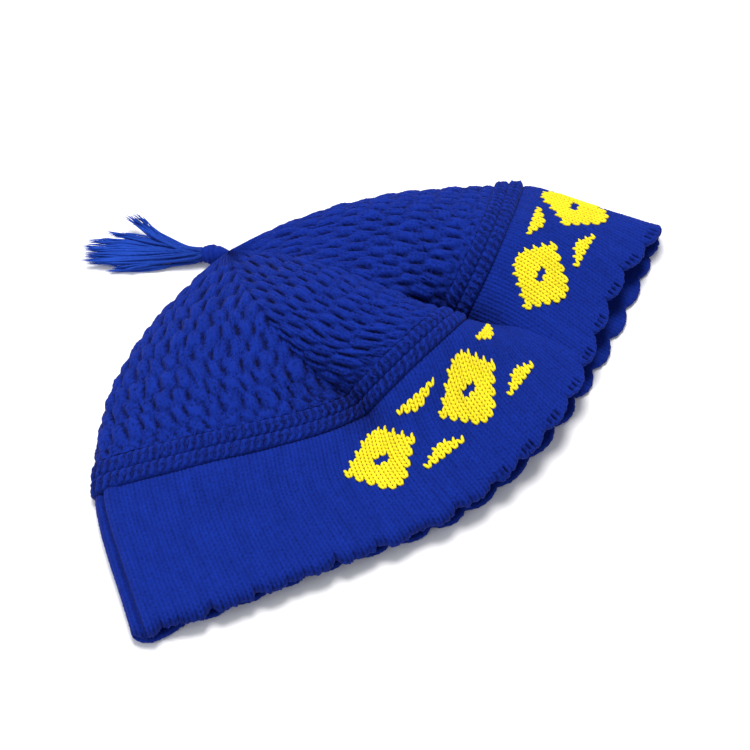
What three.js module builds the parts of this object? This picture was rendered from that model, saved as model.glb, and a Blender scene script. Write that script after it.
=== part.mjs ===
// A knitted kippah: a deep skullcap of blue yarn with a tassel, as it lies on a table.
// Its back half is flat on the table. Its front half stands up in three lobes, with a shallow dent
// and a deep valley between them.
// Millimetres, +Z up, the mouth toward -Y, the tip toward +Y and X across.
// The origin is on the table, under the middle of the box around the whole cap.
import * as THREE from "three";

// Outline of the cap as it lies.
const hemHalfWidth = 122; // from the middle line to a corner of the hem
const layLength = 134.5; // from the tip to the middle of the hem, along the table
const layThickness = 7.6; // both layers together, where nothing puffs them up
const puff = 26; // how far the highest lobe stands over the plain double layer

// Depths of the knit, from the edge of the hem to the tip.
const edgingDepth = 6;
const bandDepth = 52;
const rollDepth = 4.6; // each of the two ridges of the welt
const crownDepth = 88;

// Thickness of the knit and of what stands out of it.
const bandWall = 2.4;
const crownWall = 2.8;
const rollBulge = 1.5;

const pieceGap = 0.3; // between two pieces that are knitted to each other
const scallops = 36;
const scallopDepth = 3.6;
const scallopRoundness = 0.7; // 1 is a pointed scallop, and less is a fuller one

// Ways in which the layers lie other than level and even.
const lobeSpread = 0.2; // how far a lobe slides toward the mouth, as a share of its height
const lobeLean = 0.3; // how far the middle lobe leans over the valley, as a share of its height
const leftFlattening = 4; // how much the left half of the hem is straighter than the right
const rightTuck = 6; // how far the upper hem is drawn in on the right
const leanSide = 1.6; // over 1, the middle lobe leans most on its valley side
const rollPressed = -0.6; // a roll is flat where its normal points down more than this
const rollRaised = -0.1; // and has its whole bulge where the normal points up more than this

// Tassel.
const tasselTurn = 136; // degrees from +X in which it points
const knotLength = 8;
const knotRadius = 3.3;
const knotHeight = 4.4; // from the table to the middle of the knot
const skirtLength = 36;
const skirtHalfWidth = 9; // at the free ends
const skirtHalfHeight = 4;

const yarnBlue = 0x1c34a4;

// Places along the knit, as shares of the way from the hem to the tip.
const wholeDepth = edgingDepth + bandDepth + 2 * rollDepth + crownDepth;
const halfGap = pieceGap / 2 / wholeDepth;
const bandStart = edgingDepth / wholeDepth;
const weltStart = (edgingDepth + bandDepth) / wholeDepth;
const weltMiddle = weltStart + rollDepth / wholeDepth;
const crownStart = weltStart + (2 * rollDepth) / wholeDepth;

// Sections from the hem to the tip. half is the half width, as a share of hemHalfWidth. left, right,
// under and over are how far the two folds, the middle of the lower layer and the middle of the upper
// layer lie from the tip toward the mouth, as shares of layLength.
const sections = [
  { along: 0.0, half: 1.0, left: 0.728, right: 0.712, under: 0.985, over: 1.005 },
  { along: 0.19, half: 0.9, left: 0.52, right: 0.53, under: 0.775, over: 0.812 },
  { along: 0.375, half: 0.8, left: 0.34, right: 0.36, under: 0.57, over: 0.638 },
  { along: 0.435, half: 0.738, left: 0.275, right: 0.312, under: 0.5, over: 0.568 },
  { along: 0.56, half: 0.62, left: 0.172, right: 0.225, under: 0.372, over: 0.435 },
  { along: 0.7, half: 0.465, left: 0.088, right: 0.135, under: 0.245, over: 0.29 },
  { along: 0.84, half: 0.285, left: 0.03, right: 0.06, under: 0.13, over: 0.152 },
  { along: 0.95, half: 0.105, left: 0.006, right: 0.015, under: 0.045, over: 0.048 },
  { along: 1.0, half: 0.02, left: 0.0, right: 0.0, under: 0.004, over: 0.004 },
];

// Lines that run up the upper layer, from the left fold to the right one. place is where each crosses
// a section, from -1 at the left fold to 1 at the right, and rise its height as a share of puff.
// steepLeft and steepRight shape the slope on each side of a low line: under 1 is a steep bank.
const lineStops = [0, 0.19, 0.4, 0.47, 0.56, 0.7, 0.84, 0.95, 1];
const lines = [
  {
    name: "left fold",
    place: [-1, -1, -1, -1, -1, -1, -1, -1, -1],
    rise: [0, 0, 0, 0, 0, 0, 0, 0, 0],
    steepRight: 0.9,
    pointsAfter: 11,
  },
  {
    name: "left lobe",
    place: [-0.58, -0.58, -0.56, -0.56, -0.56, -0.58, -0.6, -0.6, -0.6],
    rise: [0.08, 0.24, 0.48, 0.58, 0.64, 0.6, 0.38, 0.12, 0],
    pointsAfter: 8,
  },
  {
    name: "dent",
    place: [-0.2, -0.17, -0.12, -0.16, -0.22, -0.27, -0.28, -0.28, -0.28],
    rise: [0.08, 0.2, 0.24, 0.34, 0.52, 0.62, 0.38, 0.1, 0],
    steepLeft: 1.3,
    steepRight: 0.75,
    pointsAfter: 7,
  },
  {
    name: "middle lobe",
    place: [0.2, 0.22, 0.18, 0.12, 0.07, 0.03, 0, 0, 0],
    rise: [0.2, 0.5, 0.95, 1.02, 1.02, 0.86, 0.5, 0.16, 0],
    pointsAfter: 8,
  },
  {
    name: "valley",
    place: [0.5, 0.5, 0.45, 0.41, 0.34, 0.29, 0.26, 0.26, 0.26],
    rise: [0.12, 0.22, 0.06, 0.46, 0.72, 0.7, 0.44, 0.13, 0],
    steepLeft: 0.8,
    steepRight: 0.75,
    pointsAfter: 8,
  },
  {
    name: "right lobe",
    place: [0.78, 0.74, 0.68, 0.66, 0.65, 0.64, 0.62, 0.6, 0.6],
    rise: [0.14, 0.42, 0.7, 0.76, 0.76, 0.68, 0.4, 0.12, 0],
    pointsAfter: 12,
  },
  {
    name: "right fold",
    place: [1, 1, 1, 1, 1, 1, 1, 1, 1],
    rise: [0, 0, 0, 0, 0, 0, 0, 0, 0],
    steepLeft: 0.9,
  },
];
const firstLobe = 3; // the middle lobe's place in the list, with the dent before and the valley after

// How finely the faces are divided.
const closePoints = 60; // from one line to the next, to measure lengths by
const ringPoints = 108; // around a section, half of them above
const scallopPoints = 4; // around each scallop
const skirtPoints = 16;
const knotPoints = 14;
const closeCrowding = 2; // how the close points crowd toward a fold
const foldCrowding = 1.7; // how the points of a section do, above
const belowCrowding = 0.1; // and below, as a share of half the section
const crownStops = [0.47, 0.56, 0.65, 0.745, 0.84, 0.915]; // sections of the crown, up to the gather
const bandShares = [0, 0.3, 0.66, 1]; // sections of the band, as shares of its depth
const normalStep = 0.004; // to each side of a section, to find its normals by

// Corners of a roll's outline. reach is a share of half its depth, and out is a share of the wall
// inward, or 1 for the bulge outward.
const rollOutline = [
  { reach: -0.9, out: -0.35 },
  { reach: -0.42, out: 1 },
  { reach: 0.42, out: 1 },
  { reach: 0.9, out: -0.35 },
  { reach: 0.6, out: -1 },
  { reach: -0.6, out: -1 },
];

// Outline of the knot past its nose, and of the skirt, as shares of their sizes.
const knotNose = 2;
const knotOutline = [
  { along: 0.18, radius: 0.88 },
  { along: 0.38, radius: 1 },
  { along: 0.62, radius: 0.92 },
  { along: 0.84, radius: 0.68 },
  { along: 1, radius: 0.6 },
];
const skirtOutline = [
  { along: 0, wide: 0.2, high: 0.46 },
  { along: 0.1, wide: 0.34, high: 0.78 },
  { along: 0.35, wide: 0.56, high: 0.96 },
  { along: 0.65, wide: 0.84, high: 1 },
  { along: 0.9, wide: 1, high: 0.86 },
  { along: 1, wide: 0.9, high: 0.6 },
];

// Slope of a smooth curve at each of its values, level wherever the values turn.
function curveSlopes(places, values) {
  const steps = places.slice(1).map((place, i) => place - places[i]);
  const rates = steps.map((step, i) => (values[i + 1] - values[i]) / step);
  const last = rates.length - 1;
  const endSlope = (near, far, rateNear, rateFar) => {
    const slope = ((2 * near + far) * rateNear - near * rateFar) / (near + far);
    if (slope * rateNear <= 0) return 0;
    if (rateNear * rateFar < 0 && Math.abs(slope) > 3 * Math.abs(rateNear)) return 3 * rateNear;
    return slope;
  };
  return values.map((value, i) => {
    if (i === 0) return endSlope(steps[0], steps[1], rates[0], rates[1]);
    if (i > last) return endSlope(steps[last], steps[last - 1], rates[last], rates[last - 1]);
    if (rates[i - 1] * rates[i] <= 0) return 0;
    const before = 2 * steps[i] + steps[i - 1];
    const after = steps[i] + 2 * steps[i - 1];
    return (before + after) / (before / rates[i - 1] + after / rates[i]);
  });
}

// Smooth curve through a few values at rising places.
function curveThrough(places, values) {
  const slopes = curveSlopes(places, values);
  return (where) => {
    let i = 0;
    while (i < places.length - 2 && where > places[i + 1]) i += 1;
    const step = places[i + 1] - places[i];
    const t = (where - places[i]) / step;
    const rise = values[i + 1] - values[i];
    const cubic = step * (slopes[i] + slopes[i + 1]) - 2 * rise;
    const square = 3 * rise - step * (2 * slopes[i] + slopes[i + 1]);
    return values[i] + t * (step * slopes[i] + t * (square + t * cubic));
  };
}

const sectionStops = sections.map((row) => row.along);
const column = (name, size) => {
  const curve = curveThrough(sectionStops, sections.map((row) => row[name]));
  return (along) => size * curve(along);
};
const halfWidthAt = column("half", hemHalfWidth);
const leftAt = column("left", layLength);
const rightAt = column("right", layLength);
const underAt = column("under", layLength);
const overAt = column("over", layLength);
const placeAt = lines.map((line) => curveThrough(lineStops, line.place));
const riseAt = lines.map((line) => curveThrough(lineStops, line.rise));

// Distance from the tip toward the mouth, across a section from fold to fold.
function dropAcross(along, across, middle) {
  const fold = across < 0 ? leftAt(along) : rightAt(along);
  return middle + (fold - middle) * (1 - Math.cos((Math.PI / 2) * across));
}

// How full the rounded fold is: 1 away from it, falling to 0 as a half circle at the fold itself.
function foldFullness(along, across) {
  const power = (4 * halfWidthAt(along)) / layThickness;
  const closeness = Math.abs(across) ** power;
  return closeness < 1e-3 ? 1 : Math.sqrt(Math.max(0, 1 - closeness));
}

// The left half of the hem is a little straighter than the right one.
function flatteningAt(along, across) {
  const fade = Math.max(0, 1 - along / weltStart);
  return across < 0 ? leftFlattening * fade * Math.sin(Math.PI * (1 + across)) ** 2 : 0;
}

// Height of the lobes over the plain double layer, between line number i and the next one.
function lobeHeight(along, across, i) {
  const from = placeAt[i](along);
  const to = placeAt[i + 1](along);
  const t = Math.min(1, Math.max(0, (across - from) / (to - from)));
  const low = riseAt[i](along);
  const high = riseAt[i + 1](along);
  if (lines[i].steepRight) {
    return puff * (low + (high - low) * Math.sin((t * Math.PI) / 2) ** lines[i].steepRight);
  }
  return puff * (high + (low - high) * Math.sin(((1 - t) * Math.PI) / 2) ** lines[i + 1].steepLeft);
}

// How far the middle lobe leans to the right.
function leanAt(along, across) {
  const dent = placeAt[firstLobe - 1](along);
  const valley = placeAt[firstLobe + 1](along);
  const t = Math.min(1, Math.max(0, (across - dent) / (valley - dent)));
  const height = puff * Math.max(0, riseAt[firstLobe](along) - riseAt[firstLobe + 1](along));
  return lobeLean * height * Math.sin(Math.PI * t ** leanSide);
}

// A point of the upper layer's outer face, between line number i and the next one.
function overPoint(along, across, i) {
  const height = lobeHeight(along, across, i);
  const fade = Math.max(0, 1 - along / weltStart);
  const tuck = across > 0 ? rightTuck * fade * Math.sin(Math.PI * across ** 2) ** 2 : 0;
  const drop = dropAcross(along, across, overAt(along)) - flatteningAt(along, across) - tuck;
  return new THREE.Vector3(
    halfWidthAt(along) * across + leanAt(along, across),
    -drop - lobeSpread * height,
    (layThickness / 2) * (1 + foldFullness(along, across)) + height,
  );
}

// A point of the lower layer's outer face, which lies on the table.
function underPoint(along, across) {
  const drop = dropAcross(along, across, underAt(along)) - flatteningAt(along, across);
  return new THREE.Vector3(
    halfWidthAt(along) * across,
    -drop,
    (layThickness / 2) * (1 - foldFullness(along, across)),
  );
}

// Points along a run of close points, placed by their share of its length.
function placed(run, shares) {
  const lengths = [0];
  for (let i = 1; i < run.length; i += 1) {
    lengths.push(lengths[i - 1] + run[i].distanceTo(run[i - 1]));
  }
  const whole = lengths[lengths.length - 1];
  return shares.map((share) => {
    let i = 1;
    while (i < run.length - 1 && lengths[i] < share * whole) i += 1;
    const t = (share * whole - lengths[i - 1]) / (lengths[i] - lengths[i - 1]);
    return run[i - 1].clone().lerp(run[i], t);
  });
}

// Close points over the upper layer, from line number i to the next, closest together at a fold.
function overRun(along, i) {
  const from = placeAt[i](along);
  const to = placeAt[i + 1](along);
  return Array.from({ length: closePoints + 1 }, (unused, k) => {
    const t = k / closePoints;
    return overPoint(along, from + (to - from) * crowdedShare(i, t, closeCrowding), i);
  });
}

// Close points under the lower layer, from the right fold back to the left one.
function underRun(along) {
  const count = closePoints * (lines.length - 1);
  return Array.from({ length: count + 1 }, (unused, k) =>
    underPoint(along, Math.cos((Math.PI * k) / count)),
  );
}

// A share between two lines, drawn toward the fold where one of the two is a fold.
function crowdedShare(i, t, crowding) {
  if (i === 0) return t ** crowding;
  if (i === lines.length - 2) return 1 - (1 - t) ** crowding;
  return t;
}

const evenShares = (count) => Array.from({ length: count }, (unused, i) => i / count);

// One section as a ring: over the top from the left fold to the right one, and back underneath.
// Its points lie on the lines that run up the layer, and crowd where the folds turn.
function crowdedRing(along) {
  const ring = lines.slice(0, -1).flatMap((line, i) => {
    const shares = evenShares(line.pointsAfter).map((t) => crowdedShare(i, t, foldCrowding));
    return placed(overRun(along, i), shares);
  });
  const below = evenShares(ringPoints / 2);
  const shares = below.map((t) => t - belowCrowding * Math.sin(2 * Math.PI * t));
  return [...ring, ...placed(underRun(along), shares)];
}

// The same section with even steps, so that each scallop of the hem is as wide as the next.
function evenRing(along) {
  const shares = evenShares((scallops * scallopPoints) / 2);
  const over = lines.slice(0, -1).flatMap((line, i) => overRun(along, i).slice(i ? 1 : 0));
  return [...placed(over, shares), ...placed(underRun(along), shares)];
}

// A ring moved along the face's outward normals. out is a length, or a function of the normal.
function movedRing(ringOf, along, out) {
  const ring = ringOf(along);
  const before = ringOf(Math.max(0, along - normalStep));
  const after = ringOf(Math.min(1, along + normalStep));
  return ring.map((point, i) => {
    const left = ring[(i + ring.length - 1) % ring.length];
    const right = ring[(i + 1) % ring.length];
    const across = right.clone().sub(left);
    const upward = after[i].clone().sub(before[i]);
    const normal = across.cross(upward).normalize();
    const length = typeof out === "function" ? out(normal) : out;
    return point.clone().addScaledVector(normal, length);
  });
}

// A closed skin over rings of equally many points. The rings run on into the first one again, or
// else the first and the last are zipped up, each upper point to the lower one across from it.
function skin(rings, runsOn) {
  const count = rings[0].length;
  const faces = [];
  const at = (ring, i) => ring * count + ((i + count) % count);
  const quad = (a, b, c, d) => {
    if (a !== b && b !== c && a !== c) faces.push(a, b, c);
    if (a !== c && c !== d && a !== d) faces.push(a, c, d);
  };
  for (let ring = 0; ring < rings.length - (runsOn ? 0 : 1); ring += 1) {
    const next = (ring + 1) % rings.length;
    for (let i = 0; i < count; i += 1) quad(at(ring, i), at(ring, i + 1), at(next, i + 1), at(next, i));
  }
  if (!runsOn) {
    const last = rings.length - 1;
    for (let i = 0; i < count / 2; i += 1) {
      quad(at(0, i + 1), at(0, i), at(0, -i), at(0, -i - 1));
      quad(at(last, i), at(last, i + 1), at(last, -i - 1), at(last, -i));
    }
  }
  const geometry = new THREE.BufferGeometry();
  geometry.setFromPoints(rings.flat());
  geometry.setIndex(faces);
  geometry.computeVertexNormals();
  return geometry;
}

function piece(name, geometry, color = yarnBlue) {
  const material = new THREE.MeshStandardMaterial({ color, roughness: 0.9, metalness: 0 });
  const mesh = new THREE.Mesh(geometry, material);
  mesh.name = name;
  return mesh;
}

// Crown: its inner face ends where the gathered tip is solid yarn.
function makeCrown() {
  const from = crownStart + halfGap;
  const stops = [from, ...crownStops];
  const outer = [...stops, 1].map((along) => crowdedRing(along));
  const inner = stops.map((along) => movedRing(crowdedRing, along, -crownWall)).reverse();
  return piece("crown", skin([...inner, ...outer], false));
}

// One rolled ridge of the welt. On the table it is pressed flat.
function makeRoll(name, from) {
  const middle = from + rollDepth / 2 / wholeDepth;
  const reach = rollDepth / 2 / wholeDepth - halfGap;
  const raised = (normal) => (normal.z - rollPressed) / (rollRaised - rollPressed);
  const bulge = (normal) => rollBulge * Math.min(1, Math.max(0, raised(normal)));
  const rings = rollOutline.map((corner) => {
    const out = corner.out > 0 ? bulge : corner.out * bandWall;
    return movedRing(crowdedRing, middle + corner.reach * reach, out);
  });
  return piece(name, skin(rings, true));
}

function makeBand() {
  const from = bandStart + halfGap;
  const to = weltStart - halfGap;
  const stops = bandShares.map((share) => from + (to - from) * share);
  const outer = stops.map((along) => crowdedRing(along));
  const inner = stops.map((along) => movedRing(crowdedRing, along, -bandWall)).reverse();
  return piece("band", skin([...outer, ...inner], true));
}

// Scalloped edging: its free edge is cut back between the scallops.
function makeEdging() {
  const cutBack = (i) => 1 - Math.abs(Math.sin((Math.PI * i) / scallopPoints)) ** scallopRoundness;
  const edge = (out) => {
    const rings = evenShares(scallopPoints).map((share, k) =>
      movedRing(evenRing, (scallopDepth * cutBack(k)) / wholeDepth, out),
    );
    return rings[0].map((unused, i) => rings[i % scallopPoints][i]);
  };
  const seam = bandStart - halfGap;
  const rings = [edge(0), evenRing(seam), movedRing(evenRing, seam, -bandWall), edge(-bandWall)];
  return piece("hem_edging", skin(rings, true));
}

// Knot: a small wrapped bead of yarn, blunt where it sits on the tip and narrow at its neck.
function makeKnot() {
  const nose = Array.from({ length: 4 }, (unused, i) => {
    const turn = (Math.PI / 8) * i;
    return new THREE.Vector2(knotNose * Math.sin(turn), -knotNose * Math.cos(turn));
  });
  const body = knotOutline.map(
    (row) => new THREE.Vector2(row.radius * knotRadius, row.along * knotLength),
  );
  const outline = [...nose, ...body, new THREE.Vector2(0, knotLength)];
  const knot = piece("tassel_knot", new THREE.LatheGeometry(outline, knotPoints));
  knot.rotation.z = -Math.PI / 2;
  return knot;
}

// Skirt: the outer form of the loose strands, a flat fan that opens toward their free ends.
function makeSkirt() {
  const rings = skirtOutline.map((row) =>
    evenShares(skirtPoints).map((share) => {
      const turn = Math.PI - 2 * Math.PI * share;
      return new THREE.Vector3(
        row.along * skirtLength,
        -Math.cos(turn) * row.wide * skirtHalfWidth,
        Math.sin(turn) * row.high * skirtHalfHeight,
      );
    }),
  );
  const skirt = piece("tassel_skirt", skin(rings, false));
  skirt.position.x = knotLength + pieceGap;
  return skirt;
}

const tassel = new THREE.Group();
tassel.add(makeKnot(), makeSkirt());
tassel.position.set(0, knotNose + pieceGap - overAt(1), knotHeight);
tassel.rotation.z = THREE.MathUtils.degToRad(tasselTurn);

const kippah = new THREE.Group();
kippah.add(
  makeCrown(),
  makeRoll("welt_upper_roll", weltMiddle),
  makeRoll("welt_lower_roll", weltStart),
  makeBand(),
  makeEdging(),
  tassel,
);

// The middle of the box around everything, on the table, becomes the origin.
const box = new THREE.Box3().setFromObject(kippah, true);
const middle = box.getCenter(new THREE.Vector3());
kippah.position.set(-middle.x, -middle.y, -box.min.z);

export default kippah;
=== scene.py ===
# %% [markdown]
# A knitted kippah that lies on a table: a deep skullcap of royal blue cotton yarn, with a tassel.
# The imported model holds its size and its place. This script knits the surface over that form:
# the crown's honeycomb, the two rolls of the welt, the band's stitches, the hem and the tassel.

# %% Load the frame
import math
import random

import bpy
import numpy as np
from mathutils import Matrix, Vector


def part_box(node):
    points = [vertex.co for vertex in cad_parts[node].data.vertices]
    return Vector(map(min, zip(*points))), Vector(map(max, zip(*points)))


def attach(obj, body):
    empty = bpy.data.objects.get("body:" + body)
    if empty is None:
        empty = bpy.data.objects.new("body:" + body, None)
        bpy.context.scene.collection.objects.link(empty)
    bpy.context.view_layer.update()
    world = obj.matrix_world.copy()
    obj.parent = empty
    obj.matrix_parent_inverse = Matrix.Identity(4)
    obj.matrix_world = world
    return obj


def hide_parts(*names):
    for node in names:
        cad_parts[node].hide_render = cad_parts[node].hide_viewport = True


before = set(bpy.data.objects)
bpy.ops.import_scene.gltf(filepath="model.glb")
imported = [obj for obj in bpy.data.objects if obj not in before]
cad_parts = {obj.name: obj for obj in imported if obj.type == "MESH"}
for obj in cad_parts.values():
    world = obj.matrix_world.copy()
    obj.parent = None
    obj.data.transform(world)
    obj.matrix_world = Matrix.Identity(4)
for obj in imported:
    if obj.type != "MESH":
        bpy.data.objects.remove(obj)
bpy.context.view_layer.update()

# %% [markdown]
# The camera comes first, because every later choice is judged through it. The photo looks down
# steeply from the left of the mouth. A wide lens close by could show the same side, but it would
# make the near hem look large, so this is a long lens from 0.9 m. Its length follows from the size
# of a pixel at the cap, so that the cap is as large in the picture as it is in the photo.

# %% Camera
mm = 0.001
photo_side = 750
camera_azimuth = math.radians(-42)
camera_elevation = math.radians(56.3)
camera_distance = 900 * mm
size_of_a_pixel = 0.3415 * mm
sensor_width = 36
tip_low, tip_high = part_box("crown")
tip = np.array([(tip_low[0] + tip_high[0]) / 2, tip_high[1], 0]) / mm
middle_from_tip = np.array([2, -75.4, 10.7])
looked_at = Vector((tip + middle_from_tip) * mm)

away = Vector((
    math.sin(camera_azimuth) * math.cos(camera_elevation),
    -math.cos(camera_azimuth) * math.cos(camera_elevation),
    math.sin(camera_elevation),
))
camera_data = bpy.data.cameras.new("camera")
camera_data.sensor_width = sensor_width
camera_data.lens = sensor_width * camera_distance / size_of_a_pixel / photo_side
camera_data.clip_start = 50 * mm
camera_data.clip_end = 20
camera = bpy.data.objects.new("camera", camera_data)
camera.location = looked_at + away * camera_distance
camera.rotation_mode = "QUATERNION"
camera.rotation_quaternion = (-away).to_track_quat("-Z", "Y")
bpy.context.scene.collection.objects.link(camera)
bpy.context.scene.camera = camera
print("lens", round(camera_data.lens, 1), "mm")

# %% [markdown]
# The photo has soft studio light with short shadows. A small lamp would draw hard edges, so a wide
# one hangs above and a little behind the cap, a weaker one on the left lifts the shaded sides, and
# an even white sky fills the rest. The Standard view shows each colour as it was chosen.

# %% Lamps, sky and the plain way of showing colour
def soft_lamp(name, offset, size, power, colour):
    data = bpy.data.lights.new(name, "AREA")
    data.shape = "DISK"
    data.size = size
    data.energy = power
    data.color = colour
    lamp = bpy.data.objects.new(name, data)
    lamp.location = looked_at + Vector(offset)
    lamp.rotation_mode = "QUATERNION"
    lamp.rotation_quaternion = Vector(offset).to_track_quat("Z", "Y")
    bpy.context.scene.collection.objects.link(lamp)


soft_lamp("key_lamp", offset=(0.18, 0.32, 1.15), size=0.6, power=16.5, colour=(1.0, 0.98, 0.95))
soft_lamp("side_lamp", offset=(-0.9, 0.1, 0.7), size=0.8, power=3.2, colour=(0.95, 0.98, 1.0))
sky_colour = (0.95, 0.97, 1.0, 1)
sky_strength = 0.46
sky = bpy.data.worlds.new("white_sky")
sky.use_nodes = True
background = sky.node_tree.nodes["Background"]
background.inputs["Color"].default_value = sky_colour
background.inputs["Strength"].default_value = sky_strength
bpy.context.scene.world = sky
bpy.context.scene.view_settings.view_transform = "Standard"

# %% [markdown]
# The cap lies half collapsed, in folds that chance gave it. It could be sculpted by hand, or dropped
# as cloth in a simulation, but that would settle in folds of its own. Here it is a few sections from
# the hem to the tip, and a few lines that run up the upper layer, so that each lobe and fold is a
# row of numbers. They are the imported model's, and are worked out more finely here, so that stitches
# can sit on them. Only the fold between the middle lobe and the right one differs: it lies up to
# 7 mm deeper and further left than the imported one, as in the photo.

# %% Sizes of the cap, in millimetres
hem_half_width = 122
lay_length = 134.5
lay_thickness = 7.6
puff = 26
edging_depth = 6
band_depth = 52
roll_depth = 4.6
crown_depth = 88
band_wall = 2.4
crown_wall = 2.8
roll_bulge = 1.5
piece_gap = 0.3
scallops = 36
scallop_depth = 3.6
scallop_roundness = 0.7
lobe_spread = 0.2
lobe_lean = 0.3
lean_side = 1.6
left_flattening = 4
right_tuck = 6

whole_depth = edging_depth + band_depth + 2 * roll_depth + crown_depth
half_gap = piece_gap / 2 / whole_depth
band_start = edging_depth / whole_depth
weltline = (edging_depth + band_depth) / whole_depth
welt_middle = weltline + roll_depth / whole_depth
crown_start = weltline + 2 * roll_depth / whole_depth

# Values go from the hem, at stop 0, to the tip, at stop 1. Half is half the width. Left and right
# say how far the folds lie from the tip, and under and over say that of the layers' middles.
section_stops = [0.0, 0.19, 0.375, 0.435, 0.56, 0.7, 0.84, 0.95, 1.0]
sections = {
    "half": [1.0, 0.9, 0.8, 0.738, 0.62, 0.465, 0.285, 0.105, 0.02],
    "left": [0.728, 0.52, 0.34, 0.275, 0.172, 0.088, 0.03, 0.006, 0.0],
    "right": [0.712, 0.53, 0.36, 0.312, 0.225, 0.135, 0.06, 0.015, 0.0],
    "under": [0.985, 0.775, 0.57, 0.5, 0.372, 0.245, 0.13, 0.045, 0.004],
    "over": [1.005, 0.812, 0.638, 0.568, 0.435, 0.29, 0.152, 0.048, 0.004],
}
# Places go from -1 at the left fold to 1 at the right one. Rises are shares of the puff.
line_stops = [0, 0.19, 0.4, 0.47, 0.56, 0.7, 0.84, 0.95, 1]
line_places = {
    "left fold": [-1] * 9,
    "left lobe": [-0.58, -0.58, -0.56, -0.56, -0.56, -0.58, -0.6, -0.6, -0.6],
    "dent": [-0.2, -0.17, -0.12, -0.16, -0.22, -0.27, -0.28, -0.28, -0.28],
    "middle lobe": [0.2, 0.2, 0.12, 0.07, 0.04, 0.02, 0, 0, 0],
    "valley": [0.5, 0.48, 0.39, 0.35, 0.3, 0.27, 0.25, 0.25, 0.25],
    "right lobe": [0.78, 0.74, 0.68, 0.66, 0.65, 0.64, 0.62, 0.6, 0.6],
    "right fold": [1] * 9,
}
line_rises = {
    "left fold": [0] * 9,
    "left lobe": [0.08, 0.24, 0.48, 0.58, 0.64, 0.6, 0.38, 0.12, 0],
    "dent": [0.08, 0.2, 0.24, 0.34, 0.52, 0.62, 0.38, 0.1, 0],
    "middle lobe": [0.2, 0.5, 0.95, 1.02, 1.02, 0.86, 0.5, 0.16, 0],
    "valley": [0.12, 0.2, 0.03, 0.3, 0.6, 0.66, 0.44, 0.13, 0],
    "right lobe": [0.14, 0.42, 0.7, 0.76, 0.76, 0.68, 0.4, 0.12, 0],
    "right fold": [0] * 9,
}
steep_left = {"dent": 1.3, "valley": 0.8, "right fold": 0.9}
steep_right = {"left fold": 0.9, "dent": 0.75, "valley": 0.75}
print("hem to tip along the knit:", round(whole_depth, 1), "mm")

# %% [markdown]
# A few values along the cap have to become a smooth line. An ordinary spline swings past its points
# on both sides, and the knit would bulge where nothing bulges. This kind keeps between neighbouring
# values: where the values turn, it is level, and elsewhere it takes a mean of the slopes around.

# %% A smooth curve through a few values
def end_slope(near, far, rate_near, rate_far):
    """The slope at an end of the curve, held back so that it doesn't swing past."""
    slope = ((2 * near + far) * rate_near - near * rate_far) / (near + far)
    if slope * rate_near <= 0:
        return 0
    if rate_near * rate_far < 0 and abs(slope) > 3 * abs(rate_near):
        return 3 * rate_near
    return slope


def smooth_curve(places, values):
    """A function that gives the curve's value at any place."""
    places = np.array(places, float)
    values = np.array(values, float)
    steps = np.diff(places)
    rates = np.diff(values) / steps
    slopes = np.zeros(len(values))
    slopes[0] = end_slope(steps[0], steps[1], rates[0], rates[1])
    slopes[-1] = end_slope(steps[-1], steps[-2], rates[-1], rates[-2])
    for i in range(1, len(rates)):
        if rates[i - 1] * rates[i] > 0:
            before = 2 * steps[i] + steps[i - 1]
            after = steps[i] + 2 * steps[i - 1]
            slopes[i] = (before + after) / (before / rates[i - 1] + after / rates[i])

    def curve(where):
        i = np.clip(np.searchsorted(places, where, side="right") - 1, 0, len(steps) - 1)
        t = (where - places[i]) / steps[i]
        rise = values[i + 1] - values[i]
        cubic = steps[i] * (slopes[i] + slopes[i + 1]) - 2 * rise
        square = 3 * rise - steps[i] * (2 * slopes[i] + slopes[i + 1])
        return values[i] + t * (steps[i] * slopes[i] + t * (square + t * cubic))

    return curve


half_at = smooth_curve(section_stops, sections["half"])
left_at = smooth_curve(section_stops, sections["left"])
right_at = smooth_curve(section_stops, sections["right"])
under_at = smooth_curve(section_stops, sections["under"])
over_at = smooth_curve(section_stops, sections["over"])
line_names = list(line_places)
dent, lobe, valley = [line_names.index(name) for name in ("dent", "middle lobe", "valley")]
place_at = [smooth_curve(line_stops, line_places[name]) for name in line_names]
rise_at = [smooth_curve(line_stops, line_rises[name]) for name in line_names]

# %% [markdown]
# The cap lies on its side, so each section is two layers of knit that meet in a round fold on each
# side. The lower layer is flat on the table. The upper one goes up to its lobes in banks that are
# steep at first and round off on top, as thick knit does when it is pushed together.

# %% The two layers, as lines across a section
def fold_fullness(along, across):
    """1 over most of the width, falling to 0 at the folds, where the two layers meet."""
    power = 4 * hem_half_width * half_at(along) / lay_thickness
    return np.sqrt(np.clip(1 - np.abs(across) ** power, 0, 1))


def drop_across(along, across, middle):
    """How far the knit lies from the tip, in millimetres, curving from its middle to both folds."""
    fold = np.where(across < 0, left_at(along), right_at(along))
    fade = max(0, 1 - along / weltline)
    flattening = np.where(across < 0, np.sin(np.pi * (1 + across)) ** 2, 0) * left_flattening * fade
    return lay_length * (middle + (fold - middle) * (1 - np.cos(np.pi / 2 * across))) - flattening


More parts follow.
